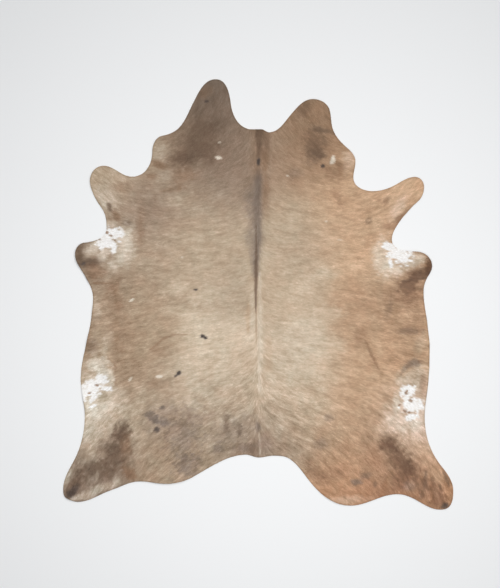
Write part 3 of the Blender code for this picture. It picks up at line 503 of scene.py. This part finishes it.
# Ridges and troughs that the tanned skin keeps, finer than the folds of the solid.
Crease = namedtuple("Crease", "name rise points")
CREASES = [
    Crease("left flank", 0.0030, [(-0.775, 0.780, 0.010), (-0.745, 0.730, 0.018), (-0.726, 0.620, 0.010)]),
    Crease("left flank, long", 0.0025, [(-0.70, 1.12, 0.012), (-0.69, 0.98, 0.022), (-0.70, 0.84, 0.012)]),
    Crease("left elbow", 0.0030, [(-0.88, 1.145, 0.012), (-0.80, 1.150, 0.020), (-0.70, 1.150, 0.010)]),
    Crease("left armpit", 0.0022, [(-0.74, 1.45, 0.010), (-0.66, 1.40, 0.018), (-0.62, 1.30, 0.010)]),
    Crease("left foreleg", 0.0024, [(-0.72, 1.66, 0.010), (-0.69, 1.60, 0.016), (-0.67, 1.52, 0.010)]),
    Crease("left throat", 0.0022, [(-0.56, 1.70, 0.010), (-0.50, 1.68, 0.018), (-0.42, 1.69, 0.008)]),
    Crease("left neck", 0.0026, [(-0.31, 2.02, 0.010), (-0.30, 1.93, 0.020), (-0.36, 1.86, 0.010)]),
    Crease("left leg, upper", 0.0026, [(-0.78, 0.42, 0.010), (-0.76, 0.33, 0.018), (-0.80, 0.24, 0.010)]),
    Crease("left leg, lower", 0.0026, [(-0.84, 0.30, 0.008), (-0.86, 0.22, 0.016), (-0.91, 0.14, 0.010)]),
    Crease("left hock", 0.0024, [(-0.78, 0.16, 0.008), (-0.84, 0.12, 0.014), (-0.90, 0.07, 0.008)]),
    Crease("right flank, arch", 0.0036, [(0.70, 0.655, 0.010), (0.74, 0.690, 0.020), (0.82, 0.705, 0.012)]),
    Crease("right flank, wave", 0.0030, [(0.70, 0.920, 0.010), (0.76, 0.922, 0.020), (0.83, 0.925, 0.012)]),
    Crease("right flank, long", 0.0026, [(0.52, 0.87, 0.010), (0.55, 0.78, 0.020), (0.61, 0.68, 0.010)]),
    Crease("right elbow", 0.0034, [(0.70, 1.120, 0.010), (0.77, 1.125, 0.020), (0.84, 1.130, 0.012)]),
    Crease("right armpit", 0.0022, [(0.66, 1.40, 0.010), (0.61, 1.32, 0.018), (0.60, 1.22, 0.010)]),
    Crease("right foreleg", 0.0024, [(0.62, 1.60, 0.010), (0.60, 1.54, 0.016), (0.60, 1.46, 0.010)]),
    Crease("right neck", 0.0030, [(0.26, 1.925, 0.010), (0.32, 1.905, 0.018), (0.37, 1.88, 0.010)]),
    Crease("right cheek", 0.0022, [(0.42, 1.80, 0.008), (0.40, 1.74, 0.016), (0.42, 1.67, 0.008)]),
    Crease("right leg, first", 0.0030, [(0.80, 0.20, 0.008), (0.808, 0.13, 0.013), (0.81, 0.06, 0.008)]),
    Crease("right leg, second", 0.0030, [(0.84, 0.18, 0.008), (0.850, 0.11, 0.013), (0.855, 0.04, 0.008)]),
    Crease("right leg, third", 0.0030, [(0.89, 0.16, 0.008), (0.900, 0.09, 0.014), (0.905, 0.02, 0.008)]),
    Crease("right thigh", 0.0024, [(0.66, 0.20, 0.010), (0.62, 0.13, 0.018), (0.60, 0.07, 0.010)]),
    Crease("left thigh", 0.0022, [(-0.62, 0.26, 0.010), (-0.60, 0.20, 0.018), (-0.58, 0.15, 0.010)]),
]

# How the hair lies on either side. tilt is how far it turns from straight out towards the tail,
# and mottle how uneven the coat's tone is there.
LIE_REACH = 0.13
Lie = namedtuple("Lie", "name out along tilt length mottle")
LIES = [
    Lie("neck, tip", 0.24, 2.08, 72, 0.013, 1.1),
    Lie("neck", 0.25, 1.88, 46, 0.015, 1.0),
    Lie("cheek", 0.47, 1.75, 14, 0.015, 1.2),
    Lie("shoulder", 0.28, 1.62, 14, 0.016, 1.0),
    Lie("foreleg, upper part", 0.62, 1.56, -22, 0.015, 1.2),
    Lie("foreleg", 0.76, 1.63, -46, 0.013, 1.2),
    Lie("ribs", 0.30, 1.28, 6, 0.016, 1.0),
    Lie("flank", 0.58, 1.25, 8, 0.017, 1.3),
    Lie("elbow", 0.86, 1.25, 4, 0.015, 1.5),
    Lie("belly", 0.76, 0.98, 12, 0.020, 1.6),
    Lie("back", 0.30, 0.92, 9, 0.016, 0.9),
    Lie("lower flank", 0.58, 0.82, 13, 0.018, 1.3),
    Lie("stifle", 0.80, 0.60, 22, 0.019, 1.5),
    Lie("hip", 0.34, 0.60, 16, 0.016, 1.1),
    Lie("rump", 0.22, 0.40, 30, 0.016, 1.7),
    Lie("thigh", 0.50, 0.24, 40, 0.016, 1.5),
    Lie("leg", 0.76, 0.34, 48, 0.015, 1.7),
    Lie("hock", 0.92, 0.10, 62, 0.014, 1.7),
]
SPINE_TURN = 68
SPINE_REACH = 0.034
STEEPEST_TURN = 86

# The room: a pale floor, a soft overhead light, a wide key from the neck's side and a faint fill.
FLOOR_SIZE = 14.0
FLOOR_DROP = 0.0003
FLOOR_COLOUR = (0.815, 0.82, 0.825, 1.0)
CAMERA_HEIGHT = 6.0
CAMERA_PLACE = (-0.041, 0.0025)
VIEW_WIDTH = 2.934
SENSOR = 36.0
OVERHEAD_PLACE = (0.20, -0.20, 3.5)
OVERHEAD_SIZE = 3.0
OVERHEAD_POWER = 100.0
KEY_FROM = (0.25, 1.0, 1.0)
KEY_SPREAD = 34
KEY_STRENGTH = 1.18
FILL_COLOUR = (0.95, 0.975, 1.0, 1.0)
FILL_STRENGTH = 0.21


def smooth_step(low, high, value):
    """0 below low, 1 above high, with a smooth rise between."""
    share = np.clip((value - low) / (high - low), 0, 1)
    return share * share * (3 - 2 * share)


def linear(colour):
    """A colour in 0 to 255, as it looks, in the linear values that light works with."""
    share = np.asarray(colour, float) / 255
    return np.where(share <= 0.04045, share / 12.92, ((share + 0.055) / 1.055) ** 2.4)


class Chart:
    """A map of the hide from above, in square cells, read smoothly between their middles."""

    def __init__(self, low, high, cell):
        self.cell = cell
        self.left = low.x - MAP_MARGIN
        self.bottom = low.y - MAP_MARGIN
        self.columns = int((high.x - low.x + 2 * MAP_MARGIN) / cell) + 2
        self.rows = int((high.y - low.y + 2 * MAP_MARGIN) / cell) + 2
        self.xs = self.left + np.arange(self.columns) * cell
        self.ys = self.bottom + np.arange(self.rows) * cell
        self.x, self.y = np.meshgrid(self.xs, self.ys)

    def at(self, values, x, y):
        """The map's values at places, each mixed from the four cells round it."""
        across = np.clip((x - self.left) / self.cell, 0, self.columns - 1.001)
        up = np.clip((y - self.bottom) / self.cell, 0, self.rows - 1.001)
        column, row = across.astype(int), up.astype(int)
        u, v = across - column, up - row
        if values.ndim == 3:
            u, v = u[..., None], v[..., None]
        lower = values[row, column] * (1 - u) + values[row, column + 1] * u
        upper = values[row + 1, column] * (1 - u) + values[row + 1, column + 1] * u
        return lower * (1 - v) + upper * v

    def window(self, low_x, high_x, low_y, high_y):
        """The cells that cover a box, as a pair of slices."""
        first_column = max(0, int((low_x - self.left) / self.cell))
        last_column = max(first_column, int((high_x - self.left) / self.cell) + 2)
        first_row = max(0, int((low_y - self.bottom) / self.cell))
        last_row = max(first_row, int((high_y - self.bottom) / self.cell) + 2)
        return slice(first_row, last_row), slice(first_column, last_column)

    def grain(self, size, seed):
        """Smooth random values from -1 to 1 on the map, with bumps about size across."""
        across = (self.xs - self.left) / size
        up = (self.ys - self.bottom) / size
        dice = np.random.default_rng(seed)
        knots = dice.uniform(-1, 1, (int(up[-1]) + 2, int(across[-1]) + 2))
        column, row = across.astype(int), up.astype(int)
        u = smooth_step(0, 1, across - column)[None, :]
        v = smooth_step(0, 1, up - row)[:, None]
        lower = knots[row][:, column] * (1 - u) + knots[row][:, column + 1] * u
        upper = knots[row + 1][:, column] * (1 - u) + knots[row + 1][:, column + 1] * u
        return lower * (1 - v) + upper * v


def blurred(values, cells):
    """The map's values, softened by a bell curve of that width in cells."""
    reach = math.ceil(cells * 2.5)
    weights = [math.exp(-((k / cells) ** 2) / 2) for k in range(-reach, reach + 1)]
    total = sum(weights)
    for axis in (0, 1):
        pads = [(0, 0), (0, 0)]
        pads[axis] = (reach, reach)
        wide = np.pad(values, pads, mode="edge")
        size = values.shape[axis]
        parts = [np.take(wide, range(k, k + size), axis) * w for k, w in enumerate(weights)]
        values = sum(parts) / total
    return values


def upper_faces(solid):
    """The corners of the solid's hair side, and its triangles, with doubled corners made one."""
    mesh = solid.data
    mesh.calc_loop_triangles()
    places = {}
    triangles = []
    for triangle in mesh.loop_triangles:
        if triangle.normal.z > 0.5:
            corners = [mesh.vertices[i].co for i in triangle.vertices]
            keys = [(round(c.x, 5), round(c.y, 5), round(c.z, 5)) for c in corners]
            triangles.append([places.setdefault(k, len(places)) for k in keys])
    return list(places), triangles


def edge_loop(places, triangles):
    """The loop round the edge of an open mesh, in plan, anticlockwise."""
    turns = [(t[i], t[(i + 1) % 3]) for t in triangles for i in range(3)]
    shared = set(turns)
    onward = {a: b for a, b in turns if (b, a) not in shared}
    here = start = next(iter(onward))
    loop = []
    while True:
        loop.append(places[here][:2])
        here = onward[here]
        if here == start:
            return np.array(loop)


def rounded_loop(loop, parts):
    """A smooth closed curve through the loop's points, with that many points for each of them."""
    before, after, beyond = np.roll(loop, 1, 0), np.roll(loop, -1, 0), np.roll(loop, -2, 0)
    pieces = []
    for k in range(parts):
        t = k / parts
        bend = 2 * before - 5 * loop + 4 * after - beyond
        twist = 3 * loop - before - 3 * after + beyond
        pieces.append(loop + ((after - before) * t + bend * t**2 + twist * t**3) / 2)
    return np.stack(pieces, 1).reshape(-1, 2)


def inside_of(rim, xs, ys):
    """For each row and column of places, whether it is inside the rim."""
    ahead = np.roll(rim, -1, 0)
    rows = []
    for y in ys:
        crossing = (rim[:, 1] > y) != (ahead[:, 1] > y)
        a, b = rim[crossing], ahead[crossing]
        cuts = np.sort(a[:, 0] + (y - a[:, 1]) / (b[:, 1] - a[:, 1]) * (b[:, 0] - a[:, 0]))
        rows.append(np.searchsorted(cuts, xs) % 2 == 1)
    return np.array(rows)


def depth_in(chart, rim):
    """How far each cell is inside the rim, and below 0 outside it, told apart up to EDGE_REACH."""
    fine = rounded_loop(rim, 3)
    nearest = np.full((chart.rows, chart.columns), EDGE_REACH)
    column = ((fine[:, 0] - chart.left) / chart.cell).astype(int)
    row = ((fine[:, 1] - chart.bottom) / chart.cell).astype(int)
    reach = int(EDGE_REACH / chart.cell) + 1
    for down in range(-reach, reach + 1):
        for aside in range(-reach, reach + 1):
            r = np.clip(row + down, 0, chart.rows - 1)
            c = np.clip(column + aside, 0, chart.columns - 1)
            gap = np.hypot(chart.xs[c] - fine[:, 0], chart.ys[r] - fine[:, 1])
            np.minimum.at(nearest, (r, c), gap)
    within = inside_of(rim, chart.xs, chart.ys)
    return np.where(within, nearest, -nearest)


def nearness(x, y, points):
    """How near places are to a line of (x, y, half width): 0 on the line and 1 at its half width."""
    best = np.full(x.shape, 9.0)
    for (ax, ay, aw), (bx, by, bw) in zip(points, points[1:]):
        length = (bx - ax) ** 2 + (by - ay) ** 2
        share = np.clip(((x - ax) * (bx - ax) + (y - ay) * (by - ay)) / length, 0, 1)
        gap = np.hypot(x - ax - share * (bx - ax), y - ay - share * (by - ay))
        best = np.minimum(best, gap / (aw + share * (bw - aw)))
    return best


class Hide:
    """The hide's outline and its heights, worked out from the frame's solid."""

    def __init__(self, solid):
        self.low, self.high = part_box(solid.name)
        places, triangles = upper_faces(solid)
        self.rim = rounded_loop(edge_loop(places, triangles), RIM_PARTS)
        self.heights = Chart(self.low, self.high, HEIGHT_CELL)
        self.coat = Chart(self.low, self.high, COAT_CELL)
        self.underside = self.height_map(places, triangles)
        self.depth = depth_in(self.coat, self.rim)

    def place(self, right, along):
        """A place on the hide in the frame."""
        return SPINE + right, self.low.y + along

    def line(self, points):
        """A line's points of (right, along, half width) in the frame."""
        return [(*self.place(right, along), width) for right, along, width in points]

    def height_map(self, places, triangles):
        """How high the hide's underside is: the solid's own folds, softened, with the fine creases."""
        chart = self.heights
        tree = BVHTree.FromPolygons([Vector(p) for p in places], triangles)
        down = Vector((0, 0, -1))
        height = np.zeros((chart.rows, chart.columns))
        found = np.zeros((chart.rows, chart.columns))
        for row, y in enumerate(chart.ys):
            for column, x in enumerate(chart.xs):
                hit = tree.ray_cast(Vector((x, y, 1.0)), down)[0]
                if hit is not None:
                    height[row, column] = hit.z - SOLID_THICKNESS
                    found[row, column] = 1.0
        cells = HEIGHT_BLUR / HEIGHT_CELL
        height = blurred(height * found, cells) / np.maximum(blurred(found, cells), 1e-4)
        for crease in CREASES:
            near = nearness(chart.x, chart.y, self.line(crease.points))
            height += crease.rise * np.exp(-(near**2))
        return np.maximum(height, 0.0)

    def under(self, x, y):
        """The underside's height at places."""
        return self.heights.at(self.underside, x, y)

    def top(self, x, y):
        """The height of the hair side of the bare skin at places."""
        return self.under(x, y) + SKIN_THICKNESS


def lie_at(hide, x, y):
    """At places: the hair's direction in plan, its length and how mottled the coat is."""
    out, along = np.abs(x - SPINE), y - hide.low.y
    side = np.where(x >= SPINE, 1.0, -1.0)
    total = tilt = length = mottle = 0.0
    for lie in LIES:
        gap = (out - lie.out) ** 2 + (along - lie.along) ** 2
        weight = np.exp(-gap / (2 * LIE_REACH**2)) + 1e-9
        total = total + weight
        tilt = tilt + weight * lie.tilt
        length = length + weight * lie.length
        mottle = mottle + weight * lie.mottle
    tilt = tilt / total + SPINE_TURN * np.exp(-out / SPINE_REACH)
    turn = np.radians(np.minimum(tilt, STEEPEST_TURN))
    return side * np.cos(turn), -np.sin(turn), length / total, mottle / total


def oval(x, y, patch, place):
    """How far places are from an oval's middle: 1 on its outline."""
    turn = math.radians(patch.turn)
    right, ahead = x - place[0], y - place[1]
    lengthwise = right * math.cos(turn) + ahead * math.sin(turn)
    across = ahead * math.cos(turn) - right * math.sin(turn)
    return np.hypot(lengthwise / patch.half_length, across / patch.half_width)


def ground_tones(hide):
    """The coat's ground colour: the pigments of the body's regions, melted into one another."""
    chart = hide.coat
    total = np.zeros(chart.x.shape)
    mixed = np.zeros((*chart.x.shape, 3))
    warp_x = chart.grain(0.11, 11) * 0.022 + chart.grain(0.03, 12) * 0.006
    warp_y = chart.grain(0.11, 13) * 0.022 + chart.grain(0.03, 14) * 0.006
    for tone in TONES:
        x, y = hide.place(tone.right, tone.along)
        gap = (chart.x + warp_x - x) ** 2 + (chart.y + warp_y - y) ** 2
        weight = np.exp(-gap / (2 * TONE_REACH**2)) + 1e-12
        total += weight
        mixed += weight[..., None] * (np.array(tone.pigment) * tone.shade)
    return mixed / total[..., None]


def combed(chart, values, across, up, reach, steps):
    """The map's values drawn out into streaks along the hair."""
    total = np.zeros(chart.x.shape)
    for k in range(-steps, steps + 1):
        share = k / steps * reach
        total += chart.at(values, chart.x + across * share, chart.y + up * share)
    return total / (2 * steps + 1)


def painted(colours, pigment, cover):
    """Colours with a pigment laid over them."""
    return colours + (np.array(pigment, float) - colours) * cover[..., None]


def marked(hide, colours):
    """The ground colours with the stripes, clouds, flecks and scars."""
    chart = hide.coat
    rough = chart.grain(0.016, 21) * 0.6 + chart.grain(0.007, 22) * 0.4
    for stripe in STRIPES:
        points = hide.line(stripe.points)
        margin = 3 * max(p[2] for p in points)
        xs, ys = [p[0] for p in points], [p[1] for p in points]
        part = chart.window(min(xs) - margin, max(xs) + margin, min(ys) - margin, max(ys) + margin)
        near = nearness(chart.x[part], chart.y[part], points) + 0.45 * rough[part]
        cover = stripe.cover * (1 - smooth_step(1 - stripe.soft, 1 + stripe.soft, near))
        colours[part] = painted(colours[part], stripe.pigment, cover)
    for mark in MARKS:
        place = hide.place(mark.right, mark.along)
        reach = 2.4 * mark.half_length
        part = chart.window(place[0] - reach, place[0] + reach, place[1] - reach, place[1] + reach)
        near = oval(chart.x[part], chart.y[part], mark, place) + mark.ragged * rough[part]
        cover = mark.cover * (1 - smooth_step(1 - mark.soft, 1 + mark.soft, near))
        colours[part] = painted(colours[part], mark.pigment, cover)
    return colours


def grained(hide, colours, across, up, mottle):
    """The colours with the coat's streaks, clouds and warmer places, and painted shade along the rim."""
    chart = hide.coat
    fine = combed(chart, chart.grain(0.005, 41), across, up, 0.010, 5)
    broad = combed(chart, chart.grain(0.012, 42), across, up, 0.028, 7)
    cloudy = chart.grain(0.060, 43) * 0.6 + chart.grain(0.025, 44) * 0.4
    warm = chart.grain(0.070, 45) * 0.5 + chart.grain(0.028, 46) * 0.5
    gain = 1 + mottle * (FINE_GRAIN * fine + BROAD_GRAIN * broad + CLOUD_GRAIN * cloudy)
    # Painted shade in a band along the rim.
    gain = gain * (1 - RIM_PAINTED_SHADE * (1 - smooth_step(0, RIM_WIDTH, hide.depth)))
    tint = 1 + (WARM_GRAIN * mottle * warm)[..., None] * np.array(WARM_SHIFT)
    return colours * tint * gain[..., None] ** PALING


def coat_map(hide):
    """The coat's colour all over the hide, in linear values."""
    chart = hide.coat
    across, up, _, mottle = lie_at(hide, chart.x, chart.y)
    colours = marked(hide, ground_tones(hide))
    colours = grained(hide, colours, across, up, mottle)
    torn = chart.grain(0.012, 31) * 0.45 + chart.grain(0.005, 32) * 0.45
    torn = combed(chart, torn, across, up, 0.006, 3)
    for patches, pigment, cover in ((WHITES, WHITE, 0.97), (SPECKS, BARK, 0.75)):
        near = np.full(chart.x.shape, 9.0)
        for patch in patches:
            near = np.minimum(near, oval(chart.x, chart.y, patch, hide.place(patch.right, patch.along)))
        shown_part = 1 - smooth_step(0.80, 1.20, near + TORN * torn)
        colours = painted(colours, pigment, cover * shown_part)
    return linear(np.clip(colours, 0, 255))


def mesh_of(name, places, triangles):
    """A mesh from arrays of places and of triangles."""
    mesh = bpy.data.meshes.new(name)
    mesh.vertices.add(len(places))
    mesh.vertices.foreach_set("co", np.asarray(places, np.float32).ravel())
    mesh.loops.add(len(triangles) * 3)
    mesh.loops.foreach_set("vertex_index", np.asarray(triangles, np.int32).ravel())
    mesh.polygons.add(len(triangles))
    mesh.polygons.foreach_set("loop_start", np.arange(0, len(triangles) * 3, 3, dtype=np.int32))
    mesh.update(calc_edges=True)
    mesh.shade_smooth()
    mesh.set_sharp_from_angle(angle=math.radians(SHARP_ANGLE))
    return mesh


def colour_points(mesh, colours):
    """Keeps a colour at each of the mesh's points, for its material to read."""
    attribute = mesh.color_attributes.new("coat", "FLOAT_COLOR", "POINT")
    alpha = np.ones((len(colours), 1))
    attribute.data.foreach_set("color", np.hstack([colours, alpha]).astype(np.float32).ravel())


def shown(name, mesh):
    """A new object in the scene."""
    obj = bpy.data.objects.new(name, mesh)
    bpy.context.scene.collection.objects.link(obj)
    return obj


def lattice_in(hide, step):
    """A staggered lattice of places inside the rim and a little clear of it."""
    rows = np.arange(hide.low.y, hide.high.y, step * math.sqrt(3) / 2)
    columns = np.arange(hide.low.x - step, hide.high.x + step, step)
    x, y = np.meshgrid(columns, rows)
    x = x + (np.arange(len(rows)) % 2 * step / 2)[:, None]
    clear = hide.coat.at(hide.depth, x, y) > min(step * 0.6, EDGE_REACH * 0.8)
    return np.stack([x[clear], y[clear]], 1)


def skin_piece(hide, coat):
    """The sheet of skin: a fine hair side, a coarser flesh side and the cut edge between them."""
    count = len(hide.rim)
    edges = [(i, (i + 1) % count) for i in range(count)]
    only_inside = 1
    sides = []
    for step in (TOP_STEP, UNDER_STEP):
        flat = [Vector(p) for p in np.vstack([hide.rim, lattice_in(hide, step)])]
        made = delaunay_2d_cdt(flat, edges, [], only_inside, 1e-6)
        sides.append((np.array([tuple(p) for p in made[0]]), np.array(made[2])))
    (top, top_faces), (under, under_faces) = sides
    top_height = hide.top(top[:, 0], top[:, 1])
    under_height = hide.under(under[:, 0], under[:, 1])
    first = len(top)
    ring = np.arange(count)
    ahead = (ring + 1) % count
    wall = np.vstack([
        np.stack([ring + first, ahead + first, ahead], 1),
        np.stack([ring + first, ahead, ring], 1),
    ])
    places = np.vstack([
        np.column_stack([top, top_height]),
        np.column_stack([under, under_height]),
    ])
    faces = np.vstack([top_faces, under_faces[:, ::-1] + first, wall])
    mesh = mesh_of("hide_skin", places, faces)
    slots = np.repeat([0, 1, 2], [len(top_faces), len(under_faces), len(wall)])
    for material in (undercoat_material(), suede_material(), cut_edge_material()):
        mesh.materials.append(material)
    mesh.polygons.foreach_set("material_index", slots.astype(np.int32))
    # The undercoat's colour is darkened: painted shade under the locks.
    colour_points(mesh, hide.coat.at(coat, places[:, 0], places[:, 1]) * UNDERCOAT_PAINTED_SHADE)
    return shown("hide_skin", mesh)


def lock_roots(hide, layer):
    """The roots of one layer's locks, with their column and row on the layer's own lattice."""
    step_y = LOCK_STEP * math.sqrt(3) / 2
    columns = int((hide.high.x - hide.low.x) / LOCK_STEP) + 2
    rows = int((hide.high.y - hide.low.y) / step_y) + 2
    own_rows = np.arange(layer // 2, rows, 2)
    own_columns = np.arange(layer % 2, columns, 2)
    row, column = np.meshgrid(own_rows, own_columns, indexing="ij")
    dice = np.random.default_rng(100 + layer)
    aside = dice.uniform(-LOCK_SCATTER, LOCK_SCATTER, row.shape)
    ahead = dice.uniform(-LOCK_SCATTER, LOCK_SCATTER, row.shape)
    x = hide.low.x + (column + row % 2 / 2 + aside) * LOCK_STEP
    y = hide.low.y + (row + ahead) * step_y
    kept = hide.coat.at(hide.depth, x, y) > ROOT_CLEARANCE
    return x[kept], y[kept], column[kept] // 2, row[kept] // 2, (columns // 2 + 1, rows // 2 + 1)


def fur_piece(hide, coat, layer, material):
    """One layer of hair: closed, pointed locks that lie along the coat."""
    x, y, column, row, cells = lock_roots(hide, layer)
    dice = np.random.default_rng(200 + layer)
    size = len(x)
    across, up, length, mottle = lie_at(hide, x, y)
    turn = dice.normal(0, math.radians(LOCK_TURN), size)
    across, up = across * np.cos(turn) - up * np.sin(turn), across * np.sin(turn) + up * np.cos(turn)
    length = length * dice.uniform(*LOCK_RANGE, size)
    width = LOCK_WIDTH * dice.uniform(*LOCK_RANGE, size)
    for _ in range(6):
        outside = -hide.coat.at(hide.depth, x + across * length, y + up * length)
        length = np.where(outside > OVERHANG * dice.uniform(0.2, 1.0, size), length * 0.72, length)
    belly_x, belly_y = x + across * length * LOCK_BELLY, y + up * length * LOCK_BELLY
    tip_x, tip_y = x + across * length, y + up * length
    belly_height = hide.top(belly_x, belly_y) + dice.uniform(*LOCK_RISE, size)
    tip_height = hide.top(tip_x, tip_y) + dice.uniform(*TIP_RISE, size)
    aside_x, aside_y = -up * width / 2, across * width / 2
    corners = [
        (x, y, hide.top(x, y) - ROOT_SINK),
        (belly_x + aside_x, belly_y + aside_y, belly_height),
        (belly_x - aside_x, belly_y - aside_y, belly_height),
        (tip_x, tip_y, tip_height),
    ]
    places = np.stack([np.column_stack(c) for c in corners], 1).reshape(-1, 3)
    pattern = np.array([(0, 2, 1), (2, 3, 1), (0, 1, 3), (0, 3, 2)])
    faces = (np.arange(size)[:, None, None] * 4 + pattern[None]).reshape(-1, 3)
    mesh = mesh_of(f"hair_{layer + 1}", places, faces)
    middle_x, middle_y = (x + tip_x) / 2, (y + tip_y) / 2
    spread = np.clip(1 + LOCK_SPREAD * mottle * dice.normal(0, 1, size), 0.5, 1.5)
    ground = hide.coat.at(coat, middle_x, middle_y) * spread[:, None] ** PALING
    # The roots are darkened as painted shade under the locks.
    shades = np.array([ROOT_PAINTED_SHADE, 1.0, 1.0, TIP_SHADE])
    colour_points(mesh, np.clip(ground[:, None, :] * shades[None, :, None], 0, 1).reshape(-1, 3))
    add_cells(mesh, column, row, cells)
    mesh.materials.append(material)
    return shown(f"hair_{layer + 1}", mesh)


def add_cells(mesh, column, row, cells):
    """Gives each lock its own cell of the texture map: its upper side left, its under side right."""
    upper = [(0.02, 0.02), (0.02, 0.98), (0.60, 0.02), (0.60, 0.98)]
    lower = [(0.66, 0.02), (0.66, 0.98), (0.98, 0.02), (0.98, 0.98)]
    pattern = np.array([upper[0], upper[2], upper[1], upper[2], upper[3], upper[1],
                        lower[0], lower[1], lower[3], lower[0], lower[3], lower[2]])
    corner = np.stack([column, row], 1)[:, None, :] + pattern[None]
    layer = mesh.uv_layers.new(name="OFBake")
    layer.data.foreach_set("uv", (corner / np.array(cells)).astype(np.float32).ravel())


def new_material(name, roughness):
    """A material, with its node tree and its shader."""
    material = bpy.data.materials.new(name)
    material.use_nodes = True
    shader = material.node_tree.nodes["Principled BSDF"]
    shader.inputs["Roughness"].default_value = roughness
    return material, material.node_tree, shader


def add_node(tree, kind, **values):
    """A node with the values of its sockets."""
    node = tree.nodes.new(kind)
    for name, value in values.items():
        node.inputs[name.replace("_", " ")].default_value = value
    return node


def add_noise(tree, scale, detail):
    """A noise that is fixed to the piece, and its value."""
    where = add_node(tree, "ShaderNodeTexCoord")
    noise = add_node(tree, "ShaderNodeTexNoise", Scale=scale, Detail=detail)
    tree.links.new(where.outputs["Object"], noise.inputs["Vector"])
    return noise.outputs["Fac"]


def add_bump(tree, shader, scale, height, strength):
    """A fine unevenness of the surface."""
    bump = add_node(tree, "ShaderNodeBump", Distance=height, Strength=strength)
    tree.links.new(add_noise(tree, scale, 4.0), bump.inputs["Height"])
    tree.links.new(bump.outputs["Normal"], shader.inputs["Normal"])


def coat_material(name, roughness, scale):
    """Hair that takes its colour from the coat, made lighter and darker by a fine noise."""
    material, tree, shader = new_material(name, roughness)
    coat = add_node(tree, "ShaderNodeAttribute")
    coat.attribute_name = "coat"
    spread = add_node(tree, "ShaderNodeMapRange", To_Min=0.88, To_Max=1.12)
    tinted = add_node(tree, "ShaderNodeVectorMath")
    tinted.operation = "SCALE"
    tree.links.new(add_noise(tree, scale, 3.0), spread.inputs["Value"])
    tree.links.new(coat.outputs["Color"], tinted.inputs[0])
    tree.links.new(spread.outputs["Result"], tinted.inputs["Scale"])
    tree.links.new(tinted.outputs["Vector"], shader.inputs["Base Color"])
    shader.inputs["Specular IOR Level"].default_value = 0.35
    return material, tree, shader


def hair_material():
    """The coat's own hair, with a faint sheen."""
    material, _, shader = coat_material("hair", 0.52, 260.0)
    shader.inputs["Sheen Weight"].default_value = 0.12
    shader.inputs["Sheen Roughness"].default_value = 0.4
    return material


def undercoat_material():
    """The short dense hair under the locks."""
    material, tree, shader = coat_material("undercoat", 0.7, 420.0)
    add_bump(tree, shader, 900.0, 0.0006, 0.8)
    return material


def bare_material(name, roughness, dark, light, scale):
    """Bare skin whose colour wanders between a dark and a light shade."""
    material, tree, shader = new_material(name, roughness)
    ramp = add_node(tree, "ShaderNodeValToRGB")
    for stop, colour in zip(ramp.color_ramp.elements, (dark, light)):
        stop.color = (*linear(colour), 1.0)
    tree.links.new(add_noise(tree, scale, 3.0), ramp.inputs["Fac"])
    tree.links.new(ramp.outputs["Color"], shader.inputs["Base Color"])
    return material, tree, shader


def suede_material():
    """The flesh side: napped suede."""
    material, tree, shader = bare_material("suede", 0.85, SUEDE_DARK, SUEDE_LIGHT, 24.0)
    add_bump(tree, shader, 700.0, 0.0004, 0.7)
    return material


def cut_edge_material():
    """The cut edge of the skin."""
    material, tree, shader = bare_material("cut_edge", 0.75, CUT_DARK, CUT_LIGHT, 180.0)
    add_bump(tree, shader, 500.0, 0.0003, 0.6)
    return material


def build_floor():
    """The pale floor."""
    half, level = FLOOR_SIZE / 2, -FLOOR_DROP
    corners = [(-half, -half, level), (half, -half, level), (half, half, level), (-half, half, level)]
    mesh = bpy.data.meshes.new("floor")
    mesh.from_pydata(corners, [], [(0, 1, 2, 3)])
    material, _, shader = new_material("floor", 0.65)
    shader.inputs["Base Color"].default_value = FLOOR_COLOUR
    shader.inputs["Specular IOR Level"].default_value = 0.2
    mesh.materials.append(material)
    shown("floor", mesh)


def build_lights():
    """The soft overhead light, the wide key and the fill."""
    overhead = bpy.data.lights.new("overhead", "AREA")
    overhead.shape = "DISK"
    overhead.size = OVERHEAD_SIZE
    overhead.energy = OVERHEAD_POWER
    shown("overhead", overhead).location = OVERHEAD_PLACE
    key = bpy.data.lights.new("key", "SUN")
    key.angle = math.radians(KEY_SPREAD)
    key.energy = KEY_STRENGTH
    shown("key", key).rotation_euler = (-Vector(KEY_FROM)).to_track_quat("-Z", "Y").to_euler()
    world = bpy.data.worlds.new("fill")
    world.use_nodes = True
    background = world.node_tree.nodes["Background"]
    background.inputs["Color"].default_value = FILL_COLOUR
    background.inputs["Strength"].default_value = FILL_STRENGTH
    bpy.context.scene.world = world
    bpy.context.scene.view_settings.view_transform = "Standard"


def build_camera():
    """The camera straight above the hide, with the neck up in the picture."""
    camera = bpy.data.cameras.new("camera")
    camera.sensor_width = SENSOR
    camera.lens = SENSOR * CAMERA_HEIGHT / VIEW_WIDTH
    holder = shown("camera", camera)
    holder.location = (*CAMERA_PLACE, CAMERA_HEIGHT)
    bpy.context.scene.camera = holder


def main():
    """Builds the room, the skin and the layers of hair, and hangs each piece on the root body."""
    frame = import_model()
    build_camera()
    build_lights()
    build_floor()
    hide = Hide(frame["nodes"]["cowhide"])
    coat = coat_map(hide)
    skin = skin_piece(hide, coat)
    material = hair_material()
    fur = [fur_piece(hide, coat, layer, material) for layer in range(LAYERS)]
    for piece in (skin, *fur):
        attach(piece, "root")
    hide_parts("cowhide")


main()
